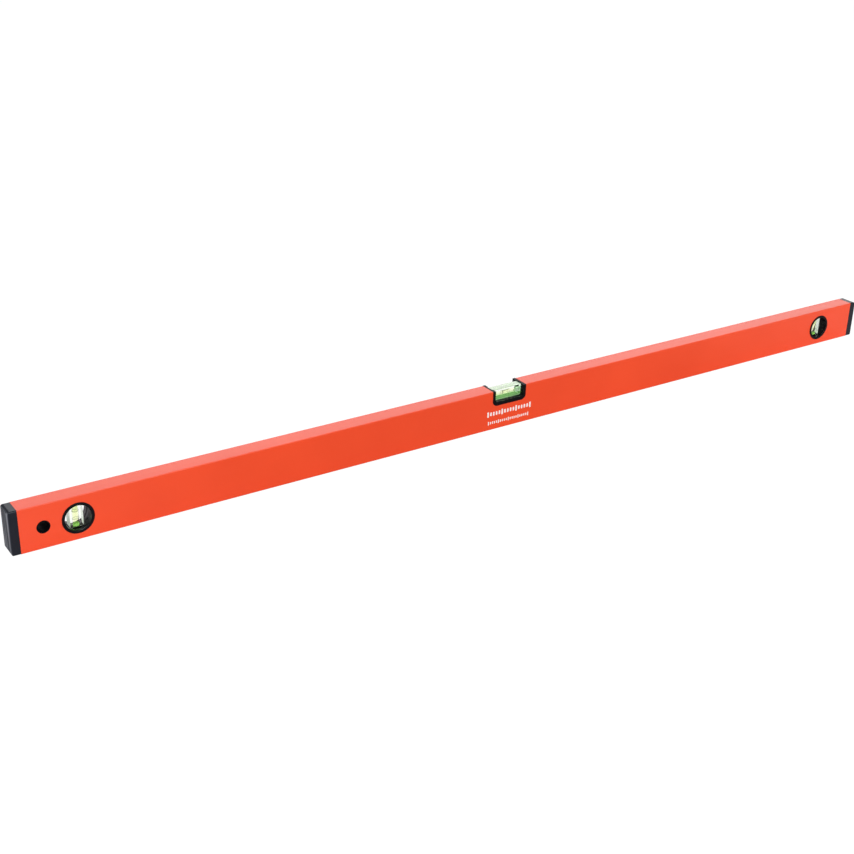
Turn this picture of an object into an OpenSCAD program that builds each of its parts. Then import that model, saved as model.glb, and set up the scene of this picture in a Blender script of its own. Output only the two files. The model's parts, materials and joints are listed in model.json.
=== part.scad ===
// Box-section spirit level, 1200 mm long, with a centre vial and two plumb vials.
// Millimetres. X runs along the level, Y through it (front face at -Y), Z is up.
// The origin is at the middle of the bottom measuring face.

/* [Level] */
// overall length, end caps included
level_length = 1200; // [600:10:1800]
// height of the box section
section_height = 48.6; // [40:0.1:60]
// depth of the box section, front face to rear face
section_depth = 21.6; // [16:0.1:30]
// wall thickness of the box section
section_wall = 1.6; // [1.2:0.1:2.5]
// rounding of the section's long edges
section_edge_radius = 0.8; // [0.3:0.1:2]

/* [End caps] */
// how far a cap stands out of the section
cap_length = 9.4; // [5:0.1:14]
// rounding of the cap's top and bottom outer corners
cap_corner_radius = 3.2; // [1:0.1:5]
// rounding of the cap's front and rear outer corners
cap_side_radius = 0.6; // [0.3:0.1:4]
// rounding of the cap's long edges
cap_edge_radius = 1.4; // [0.3:0.1:4]
// depth of the hollow plug inside the section
cap_plug_length = 14; // [8:1:25]
// wall of the hollow plug
cap_plug_wall = 1.8; // [1.2:0.1:3]
// gap between the plug and the section's inner wall
cap_plug_gap = 0.15; // [0.05:0.05:0.4]

/* [Plumb vials] */
// distance from each end to the middle of its plumb vial
plumb_inset = 69.3; // [50:0.1:120]
// height of the plumb vials' middle above the bottom face
plumb_height = 24.1; // [18:0.1:30]
// outer radius of the bezel ring
bezel_radius = 17; // [14:0.1:19]
// radius of the round window in the bezel
window_radius = 13.9; // [10:0.1:16]
// how far the bezel ring stands out of the face
bezel_proud = 0.8; // [0.3:0.1:1.5]
// outer radius of the bezel's sleeve
sleeve_radius = 15.9; // [12:0.1:18]
// inner radius of the sleeve around the block
sleeve_bore_radius = 14.9; // [11:0.1:17]
// width of the clear block, along the level
plumb_block_width = 14; // [10:0.5:18]
// height of the clear block
plumb_block_height = 25.2; // [18:0.2:28]
// radius of the block's liquid chamber
plumb_chamber_radius = 3.5; // [2.5:0.1:5]
// half the length of the liquid chamber
plumb_chamber_half = 9.6; // [7:0.1:11]
// radius of the plumb bubble
plumb_bubble_radius = 2.9; // [2:0.1:4]
// length of the plumb bubble
plumb_bubble_length = 7.5; // [7:0.1:9]

/* [Centre vial] */
// width of the housing in the top edge
housing_width = 47.9; // [40:0.1:60]
// depth of the housing below the top face
housing_drop = 18.7; // [15:0.1:24]
// rounding of the housing's lower corners
housing_corner_radius = 6.5; // [2:0.5:8]
// width of the opening in the housing's front and rear frames
frame_opening_width = 40.5; // [34:0.5:50]
// height of the frames' lower ledge below the top face
frame_opening_drop = 14.2; // [10:0.2:20]
// rounding of the frames' lower inner corners
frame_corner_radius = 2.8; // [0.5:0.1:5]
// how far the frames stand out of the faces
frame_proud = 0.4; // [0.2:0.1:1]
// length of the clear block
centre_block_length = 42.5; // [38:0.5:55]
// height of the clear block
centre_block_height = 14.8; // [12:0.2:20]
// depth of the block's top below the top face
centre_block_drop = 1.2; // [0.5:0.1:3]
// depth of the vial's axis below the top face
centre_axis_drop = 7.9; // [6:0.1:12]
// radius of the liquid chamber
centre_chamber_radius = 3.3; // [3:0.1:5]
// half the length of the liquid chamber
centre_chamber_half = 14.5; // [12:0.5:20]
// radius of the centre bubble
centre_bubble_radius = 2.2; // [1.5:0.1:3.5]
// length of the centre bubble
centre_bubble_length = 9.4; // [7:0.1:12]
// how far the centre bubble floats above the vial's axis
centre_bubble_rise = 0.7; // [0:0.1:1.5]

/* [Vials] */
// thickness of the clear blocks, front to rear
block_depth = 10.5; // [8:0.1:13]
// width of a gauge ring
ring_width = 0.4; // [0.3:0.1:1]
// radial thickness of a gauge ring
ring_thickness = 0.25; // [0.2:0.05:0.6]
// gap from a gauge ring to the end of the centred bubble
ring_margin = 0.4; // [0:0.1:1.5]
// gap between sealed pieces that lie against each other
seal_gap = 0.05; // [0.02:0.01:0.1]
// gap between pieces that are fitted together
fit_gap = 0.1; // [0.05:0.05:0.3]
// gap between a bubble's end and its chamber's end
bubble_end_gap = 0.35; // [0.3:0.05:1]

/* [Hang hole] */
// distance from the left end to the hole's middle
hang_inset = 33.7; // [25:0.1:45]
// height of the hole's middle above the bottom face
hang_height = 24; // [18:0.1:30]
// outer radius of the bush's rim
bush_rim_radius = 7; // [5:0.1:9]
// outer radius of the bush's sleeve
bush_sleeve_radius = 6.4; // [4.5:0.1:8.5]
// radius of the hole through the bush
hang_radius = 5.8; // [3:0.1:8]
// how far the rim stands out of the face
bush_proud = 0.4; // [0.2:0.1:1]

/* [Hidden] */
$fn = 96;
// small overlap that keeps cuts clean
slack = 1;
half_length = level_length / 2;
half_depth = section_depth / 2;
body_half = half_length - cap_length;
inner_height = section_height - 2 * section_wall;
inner_depth = section_depth - 2 * section_wall;
plumb_x = half_length - plumb_inset;
hang_x = hang_inset - half_length;
block_half = block_depth / 2;
step_y = block_half + fit_gap;
housing_floor = section_height - housing_drop;
ledge_z = section_height - frame_opening_drop;
block_top = section_height - centre_block_drop;
block_floor = block_top - centre_block_height;
centre_z = section_height - centre_axis_drop;
plumb_bubble_rest = plumb_chamber_half - bubble_end_gap - plumb_bubble_length / 2;
// rounding of a rim's edges, as a share of how far it stands out
rim_rounding = 0.5;

// ---- outlines and placing ----

module rounded_rect(width, height, radius) {
  square([width - 2 * radius, height], center = true);
  square([width, height - 2 * radius], center = true);
  for (sx = [-1, 1])
    for (sy = [-1, 1])
      translate([sx * (width / 2 - radius), sy * (height / 2 - radius)])
        circle(r = radius);
}

// a U-shaped outline that runs past the top face, its floor at floor_z
module trough_outline(width, floor_z, radius, top_z) {
  translate([-width / 2, floor_z + radius])
    square([width, top_z - floor_z - radius]);
  translate([-width / 2 + radius, floor_z])
    square([width - 2 * radius, radius * 2]);
  for (sx = [-1, 1])
    translate([sx * (width / 2 - radius), floor_z + radius])
      circle(r = radius);
}

// extrude an X-Z outline along Y, from y_low to y_high
module along_y(y_low, y_high) {
  translate([0, y_high, 0])
    rotate([90, 0, 0])
      linear_extrude(y_high - y_low)
        children();
}

// extrude a Y-Z outline along X, from x_low to x_high
module along_x(x_low, x_high) {
  translate([x_low, 0, 0])
    rotate([90, 0, 90])
      linear_extrude(x_high - x_low)
        children();
}

// turn a radius and depth profile about Y; positive depth is outwards, to the front
module front_turning() {
  rotate([90, 0, 0])
    rotate_extrude()
      children();
}

// profile of a rim that lies on a face, its outer edges rounded
module rim_outline(inner, outer, proud) {
  intersection() {
    translate([(inner + outer) / 2, half_depth])
      rounded_rect(outer - inner, 2 * proud, proud * rim_rounding);
    translate([inner, half_depth])
      square([outer - inner, proud]);
  }
}

module at_plumb(side) {
  translate([side * plumb_x, 0, plumb_height])
    children();
}

module at_centre_vial() {
  translate([0, 0, centre_z])
    children();
}

// the same shape on the front or, mirrored, on the rear
module on_face(rear) {
  mirror([0, rear ? 1 : 0, 0])
    children();
}

// a bubble lying along Z: a round column with domed ends
module bubble_shape(radius, length, grow) {
  dome = radius * 0.8;
  straight = length / 2 - dome;
  rotate_extrude()
    intersection() {
      union() {
        translate([0, -straight - slack])
          square([radius + grow, 2 * (straight + slack)]);
        for (end = [-1, 1])
          translate([0, end * straight])
            scale([1, (dome + grow) / (radius + grow)])
              circle(r = radius + grow);
      }
      translate([0, -length / 2 - grow])
        square([radius + grow, length + 2 * grow]);
    }
}

// ---- body and end caps ----

module body_profile() {
  color([0.93, 0.28, 0.14])
    difference() {
      along_x(-body_half, body_half)
        translate([0, section_height / 2])
          difference() {
            rounded_rect(section_depth, section_height, section_edge_radius);
            square([inner_depth, inner_height], center = true);
          }
      along_y(-section_depth, section_depth)
        trough_outline(housing_width + 2 * fit_gap, housing_floor - fit_gap,
          housing_corner_radius + fit_gap, section_height + slack);
      for (side = [-1, 1])
        at_plumb(side)
          rotate([90, 0, 0])
            cylinder(r = sleeve_radius + fit_gap, h = 2 * section_depth, center = true);
      translate([hang_x, 0, hang_height])
        rotate([90, 0, 0])
          cylinder(r = bush_sleeve_radius + fit_gap, h = 2 * section_depth, center = true);
    }
}

// the part of a cap outside the section, rounded at its outer end
module cap_shell() {
  shell = cap_length - fit_gap;
  intersection() {
    along_x(0, shell)
      translate([0, section_height / 2])
        rounded_rect(section_depth, section_height, cap_edge_radius);
    along_y(-section_depth, section_depth)
      translate([shell / 2 - cap_corner_radius, section_height / 2])
        rounded_rect(shell + 2 * cap_corner_radius, section_height, cap_corner_radius);
    linear_extrude(section_height)
      translate([shell / 2 - cap_side_radius, 0])
        rounded_rect(shell + 2 * cap_side_radius, section_depth, cap_side_radius);
  }
}

// the hollow plug that holds a cap in the section
module cap_plug() {
  plug_depth = inner_depth - 2 * cap_plug_gap;
  plug_height = inner_height - 2 * cap_plug_gap;
  along_x(-cap_plug_length, slack)
    translate([0, section_height / 2])
      difference() {
        square([plug_depth, plug_height], center = true);
        square([plug_depth - 2 * cap_plug_wall, plug_height - 2 * cap_plug_wall],
          center = true);
      }
}

module end_cap(side) {
  mirror([side < 0 ? 1 : 0, 0, 0])
    translate([body_half + fit_gap, 0, 0]) {
      cap_shell();
      cap_plug();
    }
}

module left_end_cap() {
  color([0.13, 0.14, 0.18])
    end_cap(-1);
}

module right_end_cap() {
  color([0.13, 0.14, 0.18])
    end_cap(1);
}

// ---- hang hole bush, two halves pushed in from the faces ----

module hang_bush(rear) {
  color([0.07, 0.07, 0.08])
    translate([hang_x, 0, hang_height])
      on_face(rear)
        front_turning() {
          rim_outline(hang_radius, bush_rim_radius, bush_proud);
          translate([hang_radius, seal_gap])
            square([bush_sleeve_radius - hang_radius, half_depth + bush_proud / 3 - seal_gap]);
        }
}

module hang_bush_front() {
  hang_bush(false);
}

module hang_bush_rear() {
  hang_bush(true);
}

// ---- centre housing and vial ----

module centre_housing(rear) {
  outer_face = half_depth + frame_proud;
  pocket_width = centre_block_length + 2 * fit_gap;
  color([0.07, 0.07, 0.08])
    on_face(rear)
      difference() {
        along_y(-outer_face, -seal_gap)
          trough_outline(housing_width, housing_floor, housing_corner_radius,
            section_height);
        along_y(-outer_face - slack, slack)
          trough_outline(frame_opening_width, ledge_z, frame_corner_radius,
            section_height + slack);
        translate([-pocket_width / 2, -step_y, block_floor - fit_gap])
          cube([pocket_width, step_y + slack, section_height]);
      }
}

module centre_housing_front() {
  centre_housing(false);
}

module centre_housing_rear() {
  centre_housing(true);
}

// ring positions from the vial's middle
function centre_ring_x() = centre_bubble_length / 2 + ring_margin + ring_width / 2;
function plumb_ring_z() = plumb_bubble_length / 2 + ring_margin + ring_width / 2;

module ring_groove(radius) {
  cylinder(r = radius + ring_thickness + seal_gap, h = ring_width + 2 * seal_gap,
    center = true);
}

module gauge_ring(radius) {
  color([0.05, 0.05, 0.05])
    difference() {
      cylinder(r = radius + ring_thickness, h = ring_width, center = true);
      cylinder(r = radius + seal_gap, h = ring_width + slack, center = true);
    }
}

module centre_vial_block() {
  color([0.86, 0.93, 0.88])
    difference() {
      translate([-centre_block_length / 2, -block_half, block_floor])
        cube([centre_block_length, block_depth, centre_block_height]);
      at_centre_vial()
        rotate([0, 90, 0]) {
          translate([0, 0, -centre_chamber_half])
            cylinder(r = centre_chamber_radius, h = centre_block_length);
          for (side = [-1, 1])
            translate([0, 0, side * centre_ring_x()])
              ring_groove(centre_chamber_radius);
        }
    }
}

module centre_bubble_shape(grow) {
  translate([0, 0, centre_bubble_rise])
    rotate([0, 90, 0])
      bubble_shape(centre_bubble_radius, centre_bubble_length, grow);
}

module centre_vial_liquid() {
  color([0.70, 0.92, 0.25])
    at_centre_vial()
      difference() {
        rotate([0, 90, 0])
          cylinder(r = centre_chamber_radius - seal_gap,
            h = 2 * (centre_chamber_half - seal_gap), center = true);
        centre_bubble_shape(seal_gap);
      }
}

module centre_vial_bubble() {
  color([0.93, 0.98, 0.80])
    at_centre_vial()
      centre_bubble_shape(0);
}

module centre_vial_plug() {
  plug_length = centre_block_length / 2 - centre_chamber_half;
  color([0.78, 0.86, 0.80])
    at_centre_vial()
      translate([centre_chamber_half, 0, 0])
        rotate([0, 90, 0])
          cylinder(r = centre_chamber_radius - seal_gap, h = plug_length);
}

module centre_gauge_ring(side) {
  at_centre_vial()
    translate([side * centre_ring_x(), 0, 0])
      rotate([0, 90, 0])
        gauge_ring(centre_chamber_radius);
}

module centre_gauge_ring_left() {
  centre_gauge_ring(-1);
}

module centre_gauge_ring_right() {
  centre_gauge_ring(1);
}

// ---- plumb vials ----

module bezel(side, rear) {
  lip = half_depth + bezel_proud / 3 - step_y;
  color([0.07, 0.07, 0.08])
    at_plumb(side)
      on_face(rear)
        front_turning() {
          rim_outline(window_radius, bezel_radius, bezel_proud);
          translate([window_radius, step_y])
            square([sleeve_radius - window_radius, lip]);
          translate([sleeve_bore_radius, seal_gap])
            square([sleeve_radius - sleeve_bore_radius, step_y]);
        }
}

module vial_block(side) {
  color([0.86, 0.93, 0.88])
    at_plumb(side)
      difference() {
        cube([plumb_block_width, block_depth, plumb_block_height], center = true);
        translate([0, 0, plumb_chamber_half - plumb_block_height])
          cylinder(r = plumb_chamber_radius, h = plumb_block_height);
        for (end = [-1, 1])
          translate([0, 0, end * plumb_ring_z()])
            ring_groove(plumb_chamber_radius);
      }
}

module plumb_bubble_shape(grow) {
  translate([0, 0, plumb_bubble_rest])
    bubble_shape(plumb_bubble_radius, plumb_bubble_length, grow);
}

module vial_liquid(side) {
  color([0.70, 0.92, 0.25])
    at_plumb(side)
      difference() {
        cylinder(r = plumb_chamber_radius - seal_gap,
          h = 2 * (plumb_chamber_half - seal_gap), center = true);
        plumb_bubble_shape(seal_gap);
      }
}

module vial_bubble(side) {
  color([0.93, 0.98, 0.80])
    at_plumb(side)
      plumb_bubble_shape(0);
}

module vial_plug(side) {
  color([0.78, 0.86, 0.80])
    at_plumb(side)
      translate([0, 0, -plumb_block_height / 2])
        cylinder(r = plumb_chamber_radius - seal_gap,
          h = plumb_block_height / 2 - plumb_chamber_half);
}

module plumb_gauge_ring(side, end) {
  at_plumb(side)
    translate([0, 0, end * plumb_ring_z()])
      gauge_ring(plumb_chamber_radius);
}

module left_bezel_front() {
  bezel(-1, false);
}

module left_bezel_rear() {
  bezel(-1, true);
}

module left_vial_block() {
  vial_block(-1);
}

module left_vial_liquid() {
  vial_liquid(-1);
}

module left_vial_bubble() {
  vial_bubble(-1);
}

module left_vial_plug() {
  vial_plug(-1);
}

module left_gauge_ring_upper() {
  plumb_gauge_ring(-1, 1);
}

module left_gauge_ring_lower() {
  plumb_gauge_ring(-1, -1);
}

module right_bezel_front() {
  bezel(1, false);
}

module right_bezel_rear() {
  bezel(1, true);
}

module right_vial_block() {
  vial_block(1);
}

module right_vial_liquid() {
  vial_liquid(1);
}

module right_vial_bubble() {
  vial_bubble(1);
}

module right_vial_plug() {
  vial_plug(1);
}

module right_gauge_ring_upper() {
  plumb_gauge_ring(1, 1);
}

module right_gauge_ring_lower() {
  plumb_gauge_ring(1, -1);
}

body_profile();
left_end_cap();
right_end_cap();
hang_bush_front();
hang_bush_rear();
centre_housing_front();
centre_housing_rear();
centre_vial_block();
centre_vial_liquid();
centre_vial_bubble();
centre_vial_plug();
centre_gauge_ring_left();
centre_gauge_ring_right();
left_bezel_front();
left_bezel_rear();
left_vial_block();
left_vial_liquid();
left_vial_bubble();
left_vial_plug();
left_gauge_ring_upper();
left_gauge_ring_lower();
right_bezel_front();
right_bezel_rear();
right_vial_block();
right_vial_liquid();
right_vial_bubble();
right_vial_plug();
right_gauge_ring_upper();
right_gauge_ring_lower();
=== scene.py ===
"""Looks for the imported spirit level: camera, light, floor, materials and the finer visible pieces.

Units are metres, in the part's own frame: +X along the level, -Y towards the viewer, +Z up.
"""

import json
import math

import bmesh
import bpy
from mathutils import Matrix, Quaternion, Vector


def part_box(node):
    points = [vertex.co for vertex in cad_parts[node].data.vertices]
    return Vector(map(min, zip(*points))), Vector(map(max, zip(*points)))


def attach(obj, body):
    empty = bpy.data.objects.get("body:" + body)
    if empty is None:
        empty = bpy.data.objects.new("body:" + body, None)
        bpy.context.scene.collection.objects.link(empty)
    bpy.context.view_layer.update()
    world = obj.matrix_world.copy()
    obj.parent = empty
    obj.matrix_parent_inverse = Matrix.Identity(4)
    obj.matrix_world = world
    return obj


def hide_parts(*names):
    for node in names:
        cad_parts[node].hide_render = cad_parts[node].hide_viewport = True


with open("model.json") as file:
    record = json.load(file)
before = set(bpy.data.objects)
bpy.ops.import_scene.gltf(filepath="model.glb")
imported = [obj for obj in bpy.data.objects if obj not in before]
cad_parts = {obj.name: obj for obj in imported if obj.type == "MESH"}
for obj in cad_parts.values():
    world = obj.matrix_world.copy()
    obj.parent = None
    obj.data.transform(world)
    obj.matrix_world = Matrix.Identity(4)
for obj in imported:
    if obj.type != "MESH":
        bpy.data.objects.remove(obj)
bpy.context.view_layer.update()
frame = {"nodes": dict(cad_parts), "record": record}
nodes = frame["nodes"]

MM = 0.001
IOR_BLOCK = 1.49
IOR_LIQUID = 1.44

# ---- shared ----
def link_piece(name, mesh, *materials):
    """Turn a bmesh into an object with these materials and put it in the scene."""
    data = bpy.data.meshes.new(name)
    mesh.to_mesh(data)
    mesh.free()
    for material in materials:
        data.materials.append(material)
    piece = bpy.data.objects.new(name, data)
    bpy.context.scene.collection.objects.link(piece)
    return piece


# ---- camera ----
CAMERA_PLACE = Vector((-0.9226, -1.2045, 0.6961))
CAMERA_AIM = Vector((-0.1090, 0.0, 0.0194))
CAMERA_ROLL = math.radians(1.504)
LENS_MM = 58.60
SENSOR_MM = 36.0
NEAREST, FURTHEST = 0.05, 60.0  # what the camera draws, along its view


def make_camera():
    data = bpy.data.cameras.new("camera")
    data.lens = LENS_MM
    data.sensor_width = SENSOR_MM
    data.clip_start = NEAREST
    data.clip_end = FURTHEST
    camera = bpy.data.objects.new("camera", data)
    bpy.context.scene.collection.objects.link(camera)
    camera.location = CAMERA_PLACE
    look = (CAMERA_AIM - CAMERA_PLACE).to_track_quat("-Z", "Y")
    camera.rotation_mode = "QUATERNION"
    camera.rotation_quaternion = look @ Quaternion((0.0, 0.0, 1.0), CAMERA_ROLL)
    bpy.context.scene.camera = camera


# ---- light and floor ----
SKY_LIGHT = 0.30  # the light that the surroundings give
SKY_SEEN = 0.95  # how pale they look to the camera
FLOOR_REACH = 20.0
FLOOR_CELLS = 40
FLOOR_GAP = 0.02 * MM  # keeps the floor and the level's base from sharing a plane
MIDDLE = (0.0, 0.0, 0.0)
LEFT_END = (-0.6, 0.0, 0.02)
SOFTBOXES = (  # name, place, aim, width and height, watts
    ("key_softbox", (0.15, -3.3, 1.9), MIDDLE, (2.8, 1.6), 130.0),
    ("fill_softbox", (2.1, -2.1, 1.2), MIDDLE, (1.6, 1.6), 8.0),
    ("left_softbox", (-1.7, -1.9, 0.8), LEFT_END, (0.8, 0.8), 0.8),
    ("back_softbox", (1.3, 2.25, 1.27), MIDDLE, (3.7, 2.0), 37.0),
    ("end_softbox", (-2.6, 0.9, 0.9), LEFT_END, (1.4, 1.0), 44.0),
)


def add_softbox(name, place, aim, size, power):
    data = bpy.data.lights.new(name, "AREA")
    data.shape = "RECTANGLE"
    data.size, data.size_y = size
    data.energy = power
    light = bpy.data.objects.new(name, data)
    bpy.context.scene.collection.objects.link(light)
    light.location = place
    light.rotation_mode = "QUATERNION"
    light.rotation_quaternion = (Vector(aim) - Vector(place)).to_track_quat("-Z", "Y")


def make_studio():
    """The softboxes, and surroundings that look paler than the light they give."""
    scene = bpy.context.scene
    scene.view_settings.view_transform = "Standard"
    world = bpy.data.worlds.new("studio")
    world.use_nodes = True
    tree = world.node_tree
    background = tree.nodes["Background"]
    background.inputs["Color"].default_value = (1.0, 1.0, 1.0, 1.0)
    rays = tree.nodes.new("ShaderNodeLightPath")
    strength = tree.nodes.new("ShaderNodeMapRange")
    strength.inputs["To Min"].default_value = SKY_LIGHT
    strength.inputs["To Max"].default_value = SKY_SEEN
    tree.links.new(rays.outputs["Is Camera Ray"], strength.inputs["Value"])
    tree.links.new(strength.outputs["Result"], background.inputs["Strength"])
    scene.world = world
    for softbox in SOFTBOXES:
        add_softbox(*softbox)


def make_floor(material):
    """A wide floor, just under the level's base."""
    mesh = bmesh.new()
    bmesh.ops.create_grid(mesh, x_segments=FLOOR_CELLS, y_segments=FLOOR_CELLS, size=FLOOR_REACH)
    floor = link_piece("floor", mesh, material)
    floor.location.z = -FLOOR_GAP


# ---- material building ----
class Surface:
    """A Principled material and short calls for the nodes that feed it."""

    def __init__(self, name, **sockets):
        self.material = bpy.data.materials.new(name)
        self.material.use_nodes = True
        self.tree = self.material.node_tree
        self.shader = self.tree.nodes["Principled BSDF"]
        for socket, value in sockets.items():
            self.shader.inputs[socket.replace("_", " ")].default_value = value
        self.place = self.tree.nodes.new("ShaderNodeTexCoord").outputs["Object"]

    def node(self, kind, **inputs):
        made = self.tree.nodes.new(kind)
        for socket, value in inputs.items():
            self.feed(made.inputs[socket.replace("_", " ")], value)
        return made

    def feed(self, socket, value):
        if isinstance(value, bpy.types.NodeSocket):
            self.tree.links.new(value, socket)
        else:
            socket.default_value = value

    def math(self, operation, a, b=0.0):
        made = self.tree.nodes.new("ShaderNodeMath")
        made.operation = operation
        self.feed(made.inputs[0], a)
        self.feed(made.inputs[1], b)
        return made.outputs[0]

    def noise(self, scale, detail=3.0, stretch=(1.0, 1.0, 1.0), roughness=0.5):
        mapping = self.node("ShaderNodeMapping", Vector=self.place, Scale=stretch)
        made = self.node(
            "ShaderNodeTexNoise",
            Vector=mapping.outputs[0],
            Scale=scale,
            Detail=detail,
            Roughness=roughness,
        )
        return made.outputs["Fac"]

    def remap(self, value, from_low, from_high, to_low, to_high):
        made = self.tree.nodes.new("ShaderNodeMapRange")
        for socket, v in zip(made.inputs, (value, from_low, from_high, to_low, to_high)):
            self.feed(socket, v)
        return made.outputs[0]

    def blend(self, factor, a, b):
        made = self.tree.nodes.new("ShaderNodeMix")
        made.data_type = "RGBA"
        self.feed(made.inputs["Factor"], factor)
        self.feed(made.inputs[6], a)
        self.feed(made.inputs[7], b)
        return made.outputs[2]

    def bump(self, height, strength, distance, below=None):
        made = self.node("ShaderNodeBump", Height=height, Strength=strength, Distance=distance)
        if below is not None:
            self.feed(made.inputs["Normal"], below)
        return made.outputs[0]

    def drive(self, socket, value):
        self.feed(self.shader.inputs[socket], value)


def powder_coat():
    """Orange-red powder coat with a fine peel over faint lines from drawing the section."""
    s = Surface("powder_coat", IOR=1.5, Coat_Weight=0.22, Coat_Roughness=0.25)
    drift = s.noise(9.0, 2.0)
    speckle = s.noise(2600.0, 2.0)
    drawn = s.noise(6.0, 4.0, stretch=(1.0, 160.0, 160.0))
    tone = s.math("ADD", s.math("MULTIPLY", drift, 0.6), s.math("MULTIPLY", speckle, 0.4))
    shade = s.remap(tone, 0.3, 0.7, 0.0, 1.0)
    s.drive("Base Color", s.blend(shade, (0.78, 0.054, 0.009, 1.0), (0.88, 0.068, 0.013, 1.0)))
    s.drive("Roughness", s.remap(s.math("ADD", speckle, drawn), 0.6, 1.4, 0.36, 0.50))
    peel = s.bump(s.noise(1500.0, 3.0), 0.35, 0.03 * MM)
    s.drive("Normal", s.bump(drawn, 0.18, 0.05 * MM, below=peel))
    return s.material


def cap_plastic():
    """Dark moulded plastic; its outer end face is painted pale in upright streaks, partly wear and partly
    painted reflection.
    """
    s = Surface("cap_plastic", IOR=1.5, Specular_IOR_Level=0.30, Specular_Tint=(0.82, 0.90, 1.0, 1.0))
    cloud = s.noise(60.0, 3.0)
    streak = s.noise(240.0, 2.0, stretch=(1.0, 1.0, 0.04), roughness=0.5)
    grain = s.noise(2200.0, 3.0)
    tone = s.math("ADD", s.math("MULTIPLY", cloud, 0.7), s.math("MULTIPLY", grain, 0.3))
    shade = s.remap(tone, 0.3, 0.7, 0.0, 1.0)
    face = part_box("right_end_cap")[1][0]
    along = s.math("ABSOLUTE", s.node("ShaderNodeSeparateXYZ", Vector=s.place).outputs["X"])
    end_face = s.remap(along, face - 0.9 * MM, face - 0.2 * MM, 0.02, 1.0)
    # Wear and painted reflection: only the outer end face turns pale blue-grey, in upright streaks, for
    # scuffs and for the light that face reflects.
    wear_and_painted_sheen = s.math("MULTIPLY", end_face, s.remap(streak, 0.42, 0.58, 0.05, 1.0))
    moulded = s.blend(shade, (0.004, 0.005, 0.009, 1.0), (0.009, 0.010, 0.017, 1.0))
    s.drive("Base Color", s.blend(wear_and_painted_sheen, moulded, (0.080, 0.084, 0.108, 1.0)))
    scuff = s.noise(14.0, 5.0, stretch=(6.0, 9.0, 1.0), roughness=0.65)
    rough = s.remap(s.math("ADD", grain, scuff), 0.6, 1.4, 0.24, 0.42)
    dull = s.math("MULTIPLY", s.math("SUBTRACT", end_face, wear_and_painted_sheen), 0.35)
    s.drive("Roughness", s.math("ADD", rough, dull))
    s.drive("Normal", s.bump(grain, 0.35, 0.05 * MM, below=s.bump(scuff, 0.2, 0.08 * MM)))
    return s.material


def black_trim(name, rough_low, rough_high, shine, painted_bore_reflection=(0.006, 0.006, 0.008, 1.0)):
    """Black moulded plastic; its last argument is a painted reflection, the paler colour it takes inside the
    rear half of a bore, short of the rear face.
    """
    s = Surface(name, IOR=1.5, Specular_IOR_Level=shine)
    cloud = s.noise(90.0, 3.0)
    grain = s.noise(1800.0, 2.0)
    outer = s.blend(cloud, (0.0025, 0.0026, 0.0032, 1.0), (0.006, 0.006, 0.008, 1.0))
    depth = s.node("ShaderNodeSeparateXYZ", Vector=s.place).outputs["Y"]
    rearward = s.remap(depth, -1.0 * MM, 3.0 * MM, 0.0, 1.0)
    rear_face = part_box("body_profile")[1][1]
    inside = s.remap(depth, rear_face - 2.2 * MM, rear_face - 1.0 * MM, 1.0, 0.0)
    # Painted reflection: inside the rear half of a bore the black turns to the given paler colour, for the
    # light seen on that wall.
    s.drive("Base Color", s.blend(s.math("MULTIPLY", rearward, inside), outer, painted_bore_reflection))
    s.drive("Roughness", s.remap(s.math("ADD", cloud, grain), 0.6, 1.4, rough_low, rough_high))
    s.drive("Normal", s.bump(cloud, 0.10, 0.08 * MM, below=s.bump(grain, 0.06, 0.01 * MM)))
    return s.material


def clear_plastic(name, ior, tint):
    """Polished clear plastic with a trace of haze."""
    s = Surface(name, IOR=ior, Transmission_Weight=1.0, Base_Color=tint)
    haze = s.noise(300.0, 4.0, stretch=(1.0, 1.0, 3.0))
    s.drive("Roughness", s.remap(haze, 0.45, 0.75, 0.0, 0.05))
    s.drive("Normal", s.bump(s.noise(220.0, 1.0), 0.04, 0.02 * MM))
    return s.material


def vial_fluid(name, density, colour):
    """A dyed liquid. Its surface doesn't bend light, because the chamber wall round it already has."""
    s = Surface(name, IOR=1.0, Transmission_Weight=1.0, Roughness=0.0)
    swirl = s.noise(120.0, 2.0)
    s.drive("Base Color", s.blend(swirl, (0.97, 1.0, 0.93, 1.0), (1.0, 1.0, 1.0, 1.0)))
    absorption = s.node("ShaderNodeVolumeAbsorption", Color=colour, Density=density)
    output = s.tree.nodes["Material Output"]
    s.tree.links.new(absorption.outputs[0], output.inputs["Volume"])
    return s.material


def air_bubble():
    """Pale and mostly clear."""
    s = Surface("bubble", IOR=1.13, Transmission_Weight=0.92, Roughness=0.02)
    swirl = s.noise(300.0, 2.0)
    s.drive("Base Color", s.blend(swirl, (0.90, 0.98, 0.74, 1.0), (0.97, 1.0, 0.86, 1.0)))
    return s.material


def tinted_plug(name, dark, light, glow, strength, clear):
    """A dyed plug; its glow stands in for the light that the clear block carries to it."""
    s = Surface(name, IOR=1.49, Transmission_Weight=clear, Emission_Color=glow, Emission_Strength=strength)
    swirl = s.noise(500.0, 3.0)
    s.drive("Base Color", s.blend(swirl, dark, light))
    s.drive("Roughness", s.remap(swirl, 0.3, 0.7, 0.18, 0.35))
    s.drive("Normal", s.bump(swirl, 0.10, 0.02 * MM))
    return s.material


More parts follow.
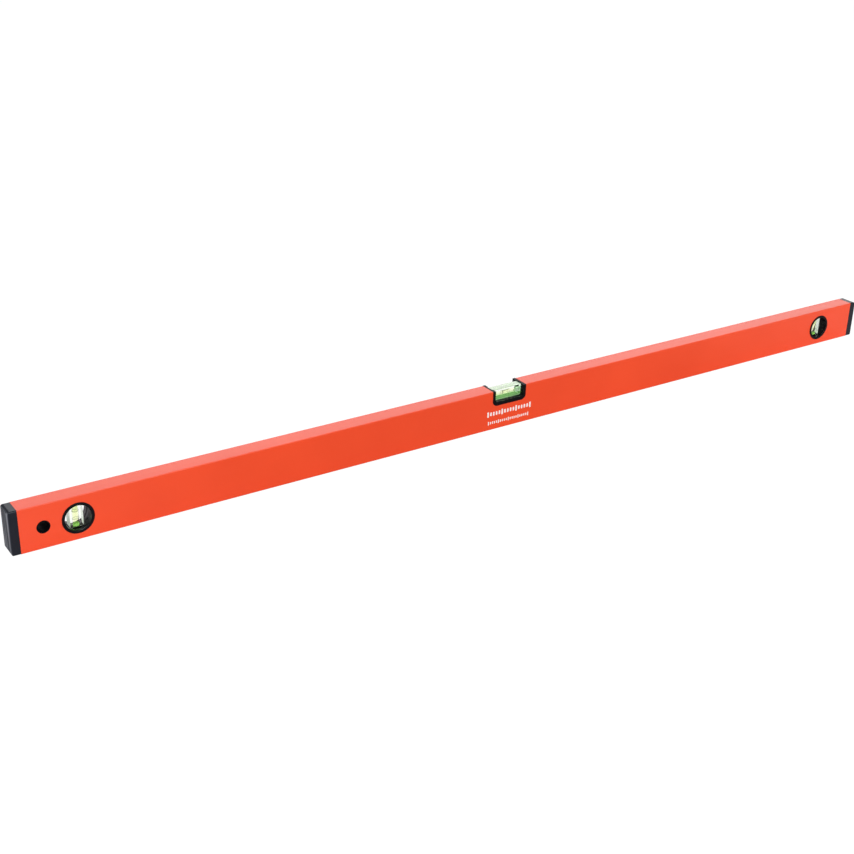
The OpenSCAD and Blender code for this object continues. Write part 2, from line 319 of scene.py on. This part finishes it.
def painted_block_light():
    """Painted light and shade that show through the centre block from under it and behind its foot: glowing
    bands of pale and green.
    """
    s = Surface("painted_block_light", IOR=1.49, Emission_Strength=0.52)
    mottle = s.noise(260.0, 3.0, stretch=(1.0, 2.0, 1.0))
    split = s.node("ShaderNodeSeparateXYZ", Vector=s.place)
    depth, height = split.outputs["Y"], split.outputs["Z"]
    low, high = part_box("centre_vial_block")
    floor, rear = low.z, high.y
    # Painted light and shade: the pale and bright bands stand for light seen through the block, the shade
    # and deep bands for its shade.
    pale = s.blend(mottle, (0.66, 0.86, 0.58, 1.0), (0.84, 0.96, 0.78, 1.0))
    shade = s.blend(mottle, (0.14, 0.30, 0.11, 1.0), (0.20, 0.38, 0.16, 1.0))
    bright = s.blend(mottle, (0.34, 0.60, 0.28, 1.0), (0.44, 0.70, 0.38, 1.0))
    deep = s.blend(mottle, (0.15, 0.35, 0.11, 1.0), (0.22, 0.44, 0.16, 1.0))
    under = s.blend(s.remap(depth, -1.0 * MM, 1.0 * MM, 0.0, 1.0), pale, shade)
    under = s.blend(s.remap(depth, rear - 2.4 * MM, rear - 0.8 * MM, 0.0, 1.0), under, bright)
    behind = s.blend(s.remap(height, floor + 3.4 * MM, floor + 4.2 * MM, 0.0, 1.0), deep, pale)
    tint = s.blend(s.remap(depth, rear - 0.25 * MM, rear - 0.01 * MM, 0.0, 1.0), under, behind)
    s.drive("Base Color", tint)
    # The same colours glow, though nothing here is a lamp: painted light.
    s.drive("Emission Color", tint)
    s.drive("Roughness", s.remap(mottle, 0.3, 0.7, 0.45, 0.65))
    s.drive("Normal", s.bump(mottle, 0.15, 0.04 * MM))
    return s.material


def frosted_side():
    """The sawn sides of a plumb block; their glow stands in for the light the block carries."""
    s = Surface("frosted_side", IOR=1.49, Transmission_Weight=0.5, Emission_Strength=0.34)
    grain = s.noise(900.0, 3.0)
    tint = s.blend(grain, (0.80, 0.86, 0.82, 1.0), (0.92, 0.96, 0.93, 1.0))
    s.drive("Base Color", tint)
    s.drive("Emission Color", tint)
    s.drive("Roughness", s.remap(grain, 0.3, 0.7, 0.40, 0.60))
    s.drive("Normal", s.bump(grain, 0.2, 0.02 * MM))
    return s.material


def hazy_top():
    """The top face of the centre block, slightly hazed."""
    s = Surface("hazy_top", IOR=1.49, Transmission_Weight=0.60)
    cloud = s.noise(220.0, 3.0)
    s.drive("Base Color", s.blend(cloud, (0.90, 0.95, 0.86, 1.0), (0.97, 1.0, 0.95, 1.0)))
    s.drive("Roughness", s.remap(cloud, 0.3, 0.7, 0.08, 0.22))
    s.drive("Normal", s.bump(cloud, 0.12, 0.04 * MM))
    return s.material


def plumb_block_shade():
    """Painted shade: a dark coat on the underside of a plumb block, for the shade under it."""
    s = Surface("plumb_block_shade", IOR=1.49, Specular_IOR_Level=0.1)
    mottle = s.noise(400.0, 3.0)
    # Painted shade: dark green-brown on the block's underside.
    s.drive("Base Color", s.blend(mottle, (0.022, 0.026, 0.014, 1.0), (0.050, 0.042, 0.030, 1.0)))
    s.drive("Roughness", s.remap(mottle, 0.3, 0.7, 0.5, 0.7))
    s.drive("Normal", s.bump(mottle, 0.15, 0.03 * MM))
    return s.material


def print_ink():
    """White print, worn thin enough in places for the coat to show."""
    s = Surface("print_ink", IOR=1.45)
    wear = s.noise(900.0, 4.0, roughness=0.6)
    thin = s.remap(wear, 0.35, 0.70, 0.0, 1.0)
    s.drive("Base Color", s.blend(thin, (0.92, 0.88, 0.87, 1.0), (0.84, 0.62, 0.58, 1.0)))
    s.drive("Roughness", s.remap(wear, 0.3, 0.7, 0.42, 0.60))
    s.drive("Normal", s.bump(wear, 0.12, 0.02 * MM))
    return s.material


def gauge_black():
    """The thin print of a gauge line, which lets some of the light behind it through."""
    s = Surface("gauge_black", IOR=1.02, Transmission_Weight=0.7)
    mottle = s.noise(1500.0, 2.0)
    s.drive("Base Color", s.blend(mottle, (0.30, 0.36, 0.22, 1.0), (0.46, 0.54, 0.34, 1.0)))
    s.drive("Roughness", s.remap(mottle, 0.3, 0.7, 0.35, 0.55))
    return s.material


def floor_paint():
    """White to the camera, straight or through a clear piece.

    In reflections it is a sweep that pales to the rear and towards both ends.
    """
    s = Surface("floor_paint", IOR=1.3, Roughness=0.8, Specular_IOR_Level=0.0)
    tree = s.tree
    split = s.node("ShaderNodeSeparateXYZ", Vector=s.place)
    along = s.math("ABSOLUTE", split.outputs["X"])
    mottle = s.remap(s.noise(3.0, 3.0), 0.3, 0.7, 0.97, 1.03)
    depth = s.remap(split.outputs["Y"], -0.10, 0.35, 0.20, 0.90)
    ends = s.remap(along, 0.30, 0.62, 0.0, 0.36)
    grey = s.math("MULTIPLY", s.math("MINIMUM", s.math("ADD", depth, ends), 0.90), mottle)
    s.drive("Base Color", s.node("ShaderNodeCombineColor", Red=grey, Green=grey, Blue=grey).outputs[0])
    seen = s.node("ShaderNodeBsdfDiffuse", Color=(0.08, 0.08, 0.08, 1.0))
    glow = s.node("ShaderNodeEmission", Color=(1.0, 1.0, 1.0, 1.0), Strength=0.98)
    white = tree.nodes.new("ShaderNodeAddShader")
    tree.links.new(seen.outputs[0], white.inputs[0])
    tree.links.new(glow.outputs[0], white.inputs[1])
    ray = s.node("ShaderNodeLightPath")
    direct = s.math("MAXIMUM", ray.outputs["Is Camera Ray"], ray.outputs["Is Transmission Ray"])
    mix = tree.nodes.new("ShaderNodeMixShader")
    tree.links.new(direct, mix.inputs[0])
    tree.links.new(s.shader.outputs[0], mix.inputs[1])
    tree.links.new(white.outputs[0], mix.inputs[2])
    tree.links.new(mix.outputs[0], tree.nodes["Material Output"].inputs["Surface"])
    return s.material


MATERIALS = {
    "powder_coat": powder_coat(),
    "cap_plastic": cap_plastic(),
    # The frame's bores get a paler painted reflection on their rear walls.
    "frame_plastic": black_trim("frame_plastic", 0.12, 0.24, 0.12, (0.080, 0.072, 0.078, 1.0)),
    "housing_plastic": black_trim("housing_plastic", 0.36, 0.50, 0.10),
    "bush_plastic": black_trim("bush_plastic", 0.45, 0.60, 0.02),
    "clear_block": clear_plastic("clear_block", IOR_BLOCK, (0.97, 1.0, 0.95, 1.0)),
    "chamber_wall": clear_plastic("chamber_wall", IOR_BLOCK / IOR_LIQUID, (1.0, 1.0, 1.0, 1.0)),
    "vial_liquid": vial_fluid("vial_liquid", 74.0, (0.91, 0.95, 0.13, 1.0)),
    "centre_liquid": vial_fluid("centre_liquid", 46.0, (0.91, 0.96, 0.13, 1.0)),
    "bubble": air_bubble(),
    "plug_plastic": tinted_plug(
        "plug_plastic", (0.20, 0.50, 0.06, 1.0), (0.36, 0.70, 0.14, 1.0), (0.22, 0.55, 0.10, 1.0), 0.45, 0.0
    ),
    "centre_plug": tinted_plug(
        "centre_plug", (0.66, 0.86, 0.66, 1.0), (0.86, 0.97, 0.84, 1.0), (0.60, 0.85, 0.58, 1.0), 0.18, 0.6
    ),
    "painted_block_light": painted_block_light(),
    "plumb_block_shade": plumb_block_shade(),
    "frosted_side": frosted_side(),
    "hazy_top": hazy_top(),
    "print_ink": print_ink(),
    "gauge_black": gauge_black(),
}


# ---- the clear vials ----
SEAL_GAP = 0.05 * MM  # from the liquid to the chamber's wall
POLISHED_EDGE = 0.25 * MM
# How high the painted light reaches up the centre block's rear face.
PAINTED_LIGHT_RISE = 5.2 * MM
FACING = 0.99  # a face points along an axis when its normal is at least this much of it
BARREL = 0.035  # how much narrower a chamber is at its ends, as a share of its radius


def stand_in(piece, node):
    """Make the piece the visible form of a fixed CAD node."""
    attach(piece, "level")
    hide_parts(node)


def barrel(mesh, low, high, axis, grow, inward, slot, rings=12, sides=64):
    """A closed, slightly barrel-shaped column that fills the box low..high along axis."""
    middle = (low + high) / 2
    half = (high[axis] - low[axis]) / 2 + grow
    across, up = [k for k in range(3) if k != axis]
    radius = (high[across] - low[across]) / 2 + grow
    loops = []
    for ring in range(rings + 1):
        along = 2 * ring / rings - 1
        r = radius * (1 - BARREL * along * along)
        loop = []
        for side in range(sides):
            turn = 2 * math.pi * side / sides
            point = middle.copy()
            point[axis] += along * half
            point[across] += r * math.cos(turn)
            point[up] += r * math.sin(turn)
            loop.append(mesh.verts.new(point))
        loops.append(loop)
    faces = [mesh.faces.new(loops[0]), mesh.faces.new(loops[-1])]
    for near, far in zip(loops, loops[1:]):
        for k in range(sides):
            quad = (near[k], near[(k + 1) % sides], far[(k + 1) % sides], far[k])
            faces.append(mesh.faces.new(quad))
            faces[-1].smooth = True
    bmesh.ops.recalc_face_normals(mesh, faces=faces)
    for face in faces:
        face.material_index = slot
        if inward:
            face.normal_flip()


def coat_faces(mesh, slot, chosen):
    """Give the faces whose normal is chosen the material in slot."""
    for face in mesh.faces:
        if chosen(face.normal):
            face.material_index = slot


def paint_light_under_block(mesh, slot):
    """Give the underside, and the rear face up to the rise set above, the painted light in slot."""
    rear = max(vert.co.y for vert in mesh.verts)
    top = min(vert.co.z for vert in mesh.verts) + PAINTED_LIGHT_RISE
    rear_faces = [face for face in mesh.faces if face.normal.y > FACING]
    edges = {edge for face in rear_faces for edge in face.edges}
    verts = {vert for face in rear_faces for vert in face.verts}
    bmesh.ops.bisect_plane(
        mesh, geom=[*rear_faces, *edges, *verts], plane_co=(0.0, rear, top), plane_no=(0.0, 0.0, 1.0)
    )
    mesh.normal_update()
    for face in mesh.faces:
        low_rear = face.normal.y > FACING and face.calc_center_median().z < top
        if face.normal.z < -FACING or low_rear:
            face.material_index = slot


def make_block(node, liquid_node, axis):
    """The clear block, its edges broken, with a void for its chamber.

    The chamber's wall bends light as if the liquid lay right against it.
    """
    low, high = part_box(node)
    mesh = bmesh.new()
    bmesh.ops.create_cube(mesh, size=1.0)
    for vert in mesh.verts:
        vert.co = Vector(((low[k] + high[k]) / 2 + vert.co[k] * (high[k] - low[k])) for k in range(3))
    bmesh.ops.bevel(mesh, geom=mesh.edges[:], offset=POLISHED_EDGE, segments=3, profile=0.5, affect="EDGES")
    coats = [MATERIALS["clear_block"], MATERIALS["chamber_wall"]]
    mesh.normal_update()
    if axis == 0:
        # Centre block: painted light under it and low on its rear face, and a hazy top.
        paint_light_under_block(mesh, len(coats))
        coat_faces(mesh, len(coats) + 1, lambda normal: normal.z > FACING)
        coats += [MATERIALS["painted_block_light"], MATERIALS["hazy_top"]]
    else:
        # Plumb block: painted shade on its underside, and frosted sides that glow.
        coat_faces(mesh, len(coats), lambda normal: normal.z < -FACING)
        coat_faces(mesh, len(coats) + 1, lambda normal: abs(normal.x) > FACING)
        coats += [MATERIALS["plumb_block_shade"], MATERIALS["frosted_side"]]
    barrel(mesh, *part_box(liquid_node), axis, SEAL_GAP, True, 1)
    stand_in(link_piece(node + "_clear", mesh, *coats), node)


def make_liquid(node, axis):
    mesh = bmesh.new()
    barrel(mesh, *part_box(node), axis, 0.0, False, 0)
    liquid = MATERIALS["centre_liquid" if axis == 0 else "vial_liquid"]
    stand_in(link_piece(node + "_fill", mesh, liquid), node)


def make_vials():
    for vial, axis in (("centre", 0), ("left", 2), ("right", 2)):
        make_block(vial + "_vial_block", vial + "_vial_liquid", axis)
        make_liquid(vial + "_vial_liquid", axis)


# ---- print marks ----
INK_THICKNESS = 0.04 * MM
INK_SINK = 0.01 * MM
MARK_ROWS = (  # left end, right end, foot, head, pitch, share of the pitch that is inked
    (-30.0 * MM, 32.0 * MM, 16.9 * MM, 24.1 * MM, 4.1 * MM, 0.58),
    (-29.0 * MM, 30.0 * MM, 6.7 * MM, 11.5 * MM, 2.9 * MM, 0.54),
)
LONG_MARK_EVERY = 5
SHORT_MARK_CUT = 0.16  # what a short mark lacks at its foot and head, as a share of a long one
CORNER_CLIP = 0.28  # of a mark's width


def add_mark(mesh, x, width, foot, head, face_y):
    """A flat bar with clipped corners, proud of the face by the thickness of its ink."""
    clip = width * CORNER_CLIP
    left, right = x - width / 2, x + width / 2
    outline = (
        (left + clip, foot), (right - clip, foot), (right, foot + clip), (right, head - clip),
        (right - clip, head), (left + clip, head), (left, head - clip), (left, foot + clip),
    )  # fmt: skip
    back = [mesh.verts.new((px, face_y + INK_SINK, pz)) for px, pz in outline]
    front = [mesh.verts.new((px, face_y - INK_THICKNESS, pz)) for px, pz in outline]
    mesh.faces.new(front)
    mesh.faces.new(list(reversed(back)))
    for k in range(len(outline)):
        following = (k + 1) % len(outline)
        mesh.faces.new((back[k], back[following], front[following], front[k]))


def make_print_marks():
    face_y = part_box("body_profile")[0][1]
    mesh = bmesh.new()
    for left, right, foot, head, pitch, inked in MARK_ROWS:
        count = int((right - left) / pitch)
        for k in range(count + 1):
            lift = 0.0 if k % LONG_MARK_EVERY == 0 else (head - foot) * SHORT_MARK_CUT
            add_mark(mesh, left + k * pitch, pitch * inked, foot + lift, head - lift, face_y)
    bmesh.ops.recalc_face_normals(mesh, faces=mesh.faces[:])
    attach(link_piece("print_marks", mesh, MATERIALS["print_ink"]), "level")


# ---- the CAD nodes ----
def dress(obj, material):
    obj.data.materials.clear()
    obj.data.materials.append(material)


def dress_cad_nodes():
    for part in frame["record"]["subparts"]:
        dress(nodes[part["node"]], MATERIALS[part["material_slot"]])
    dress(nodes["centre_vial_plug"], MATERIALS["centre_plug"])
    for side in ("front", "rear"):
        dress(nodes["hang_bush_" + side], MATERIALS["bush_plastic"])
        dress(nodes["centre_housing_" + side], MATERIALS["housing_plastic"])


make_camera()
make_studio()
make_floor(floor_paint())
dress_cad_nodes()
make_vials()
make_print_marks()
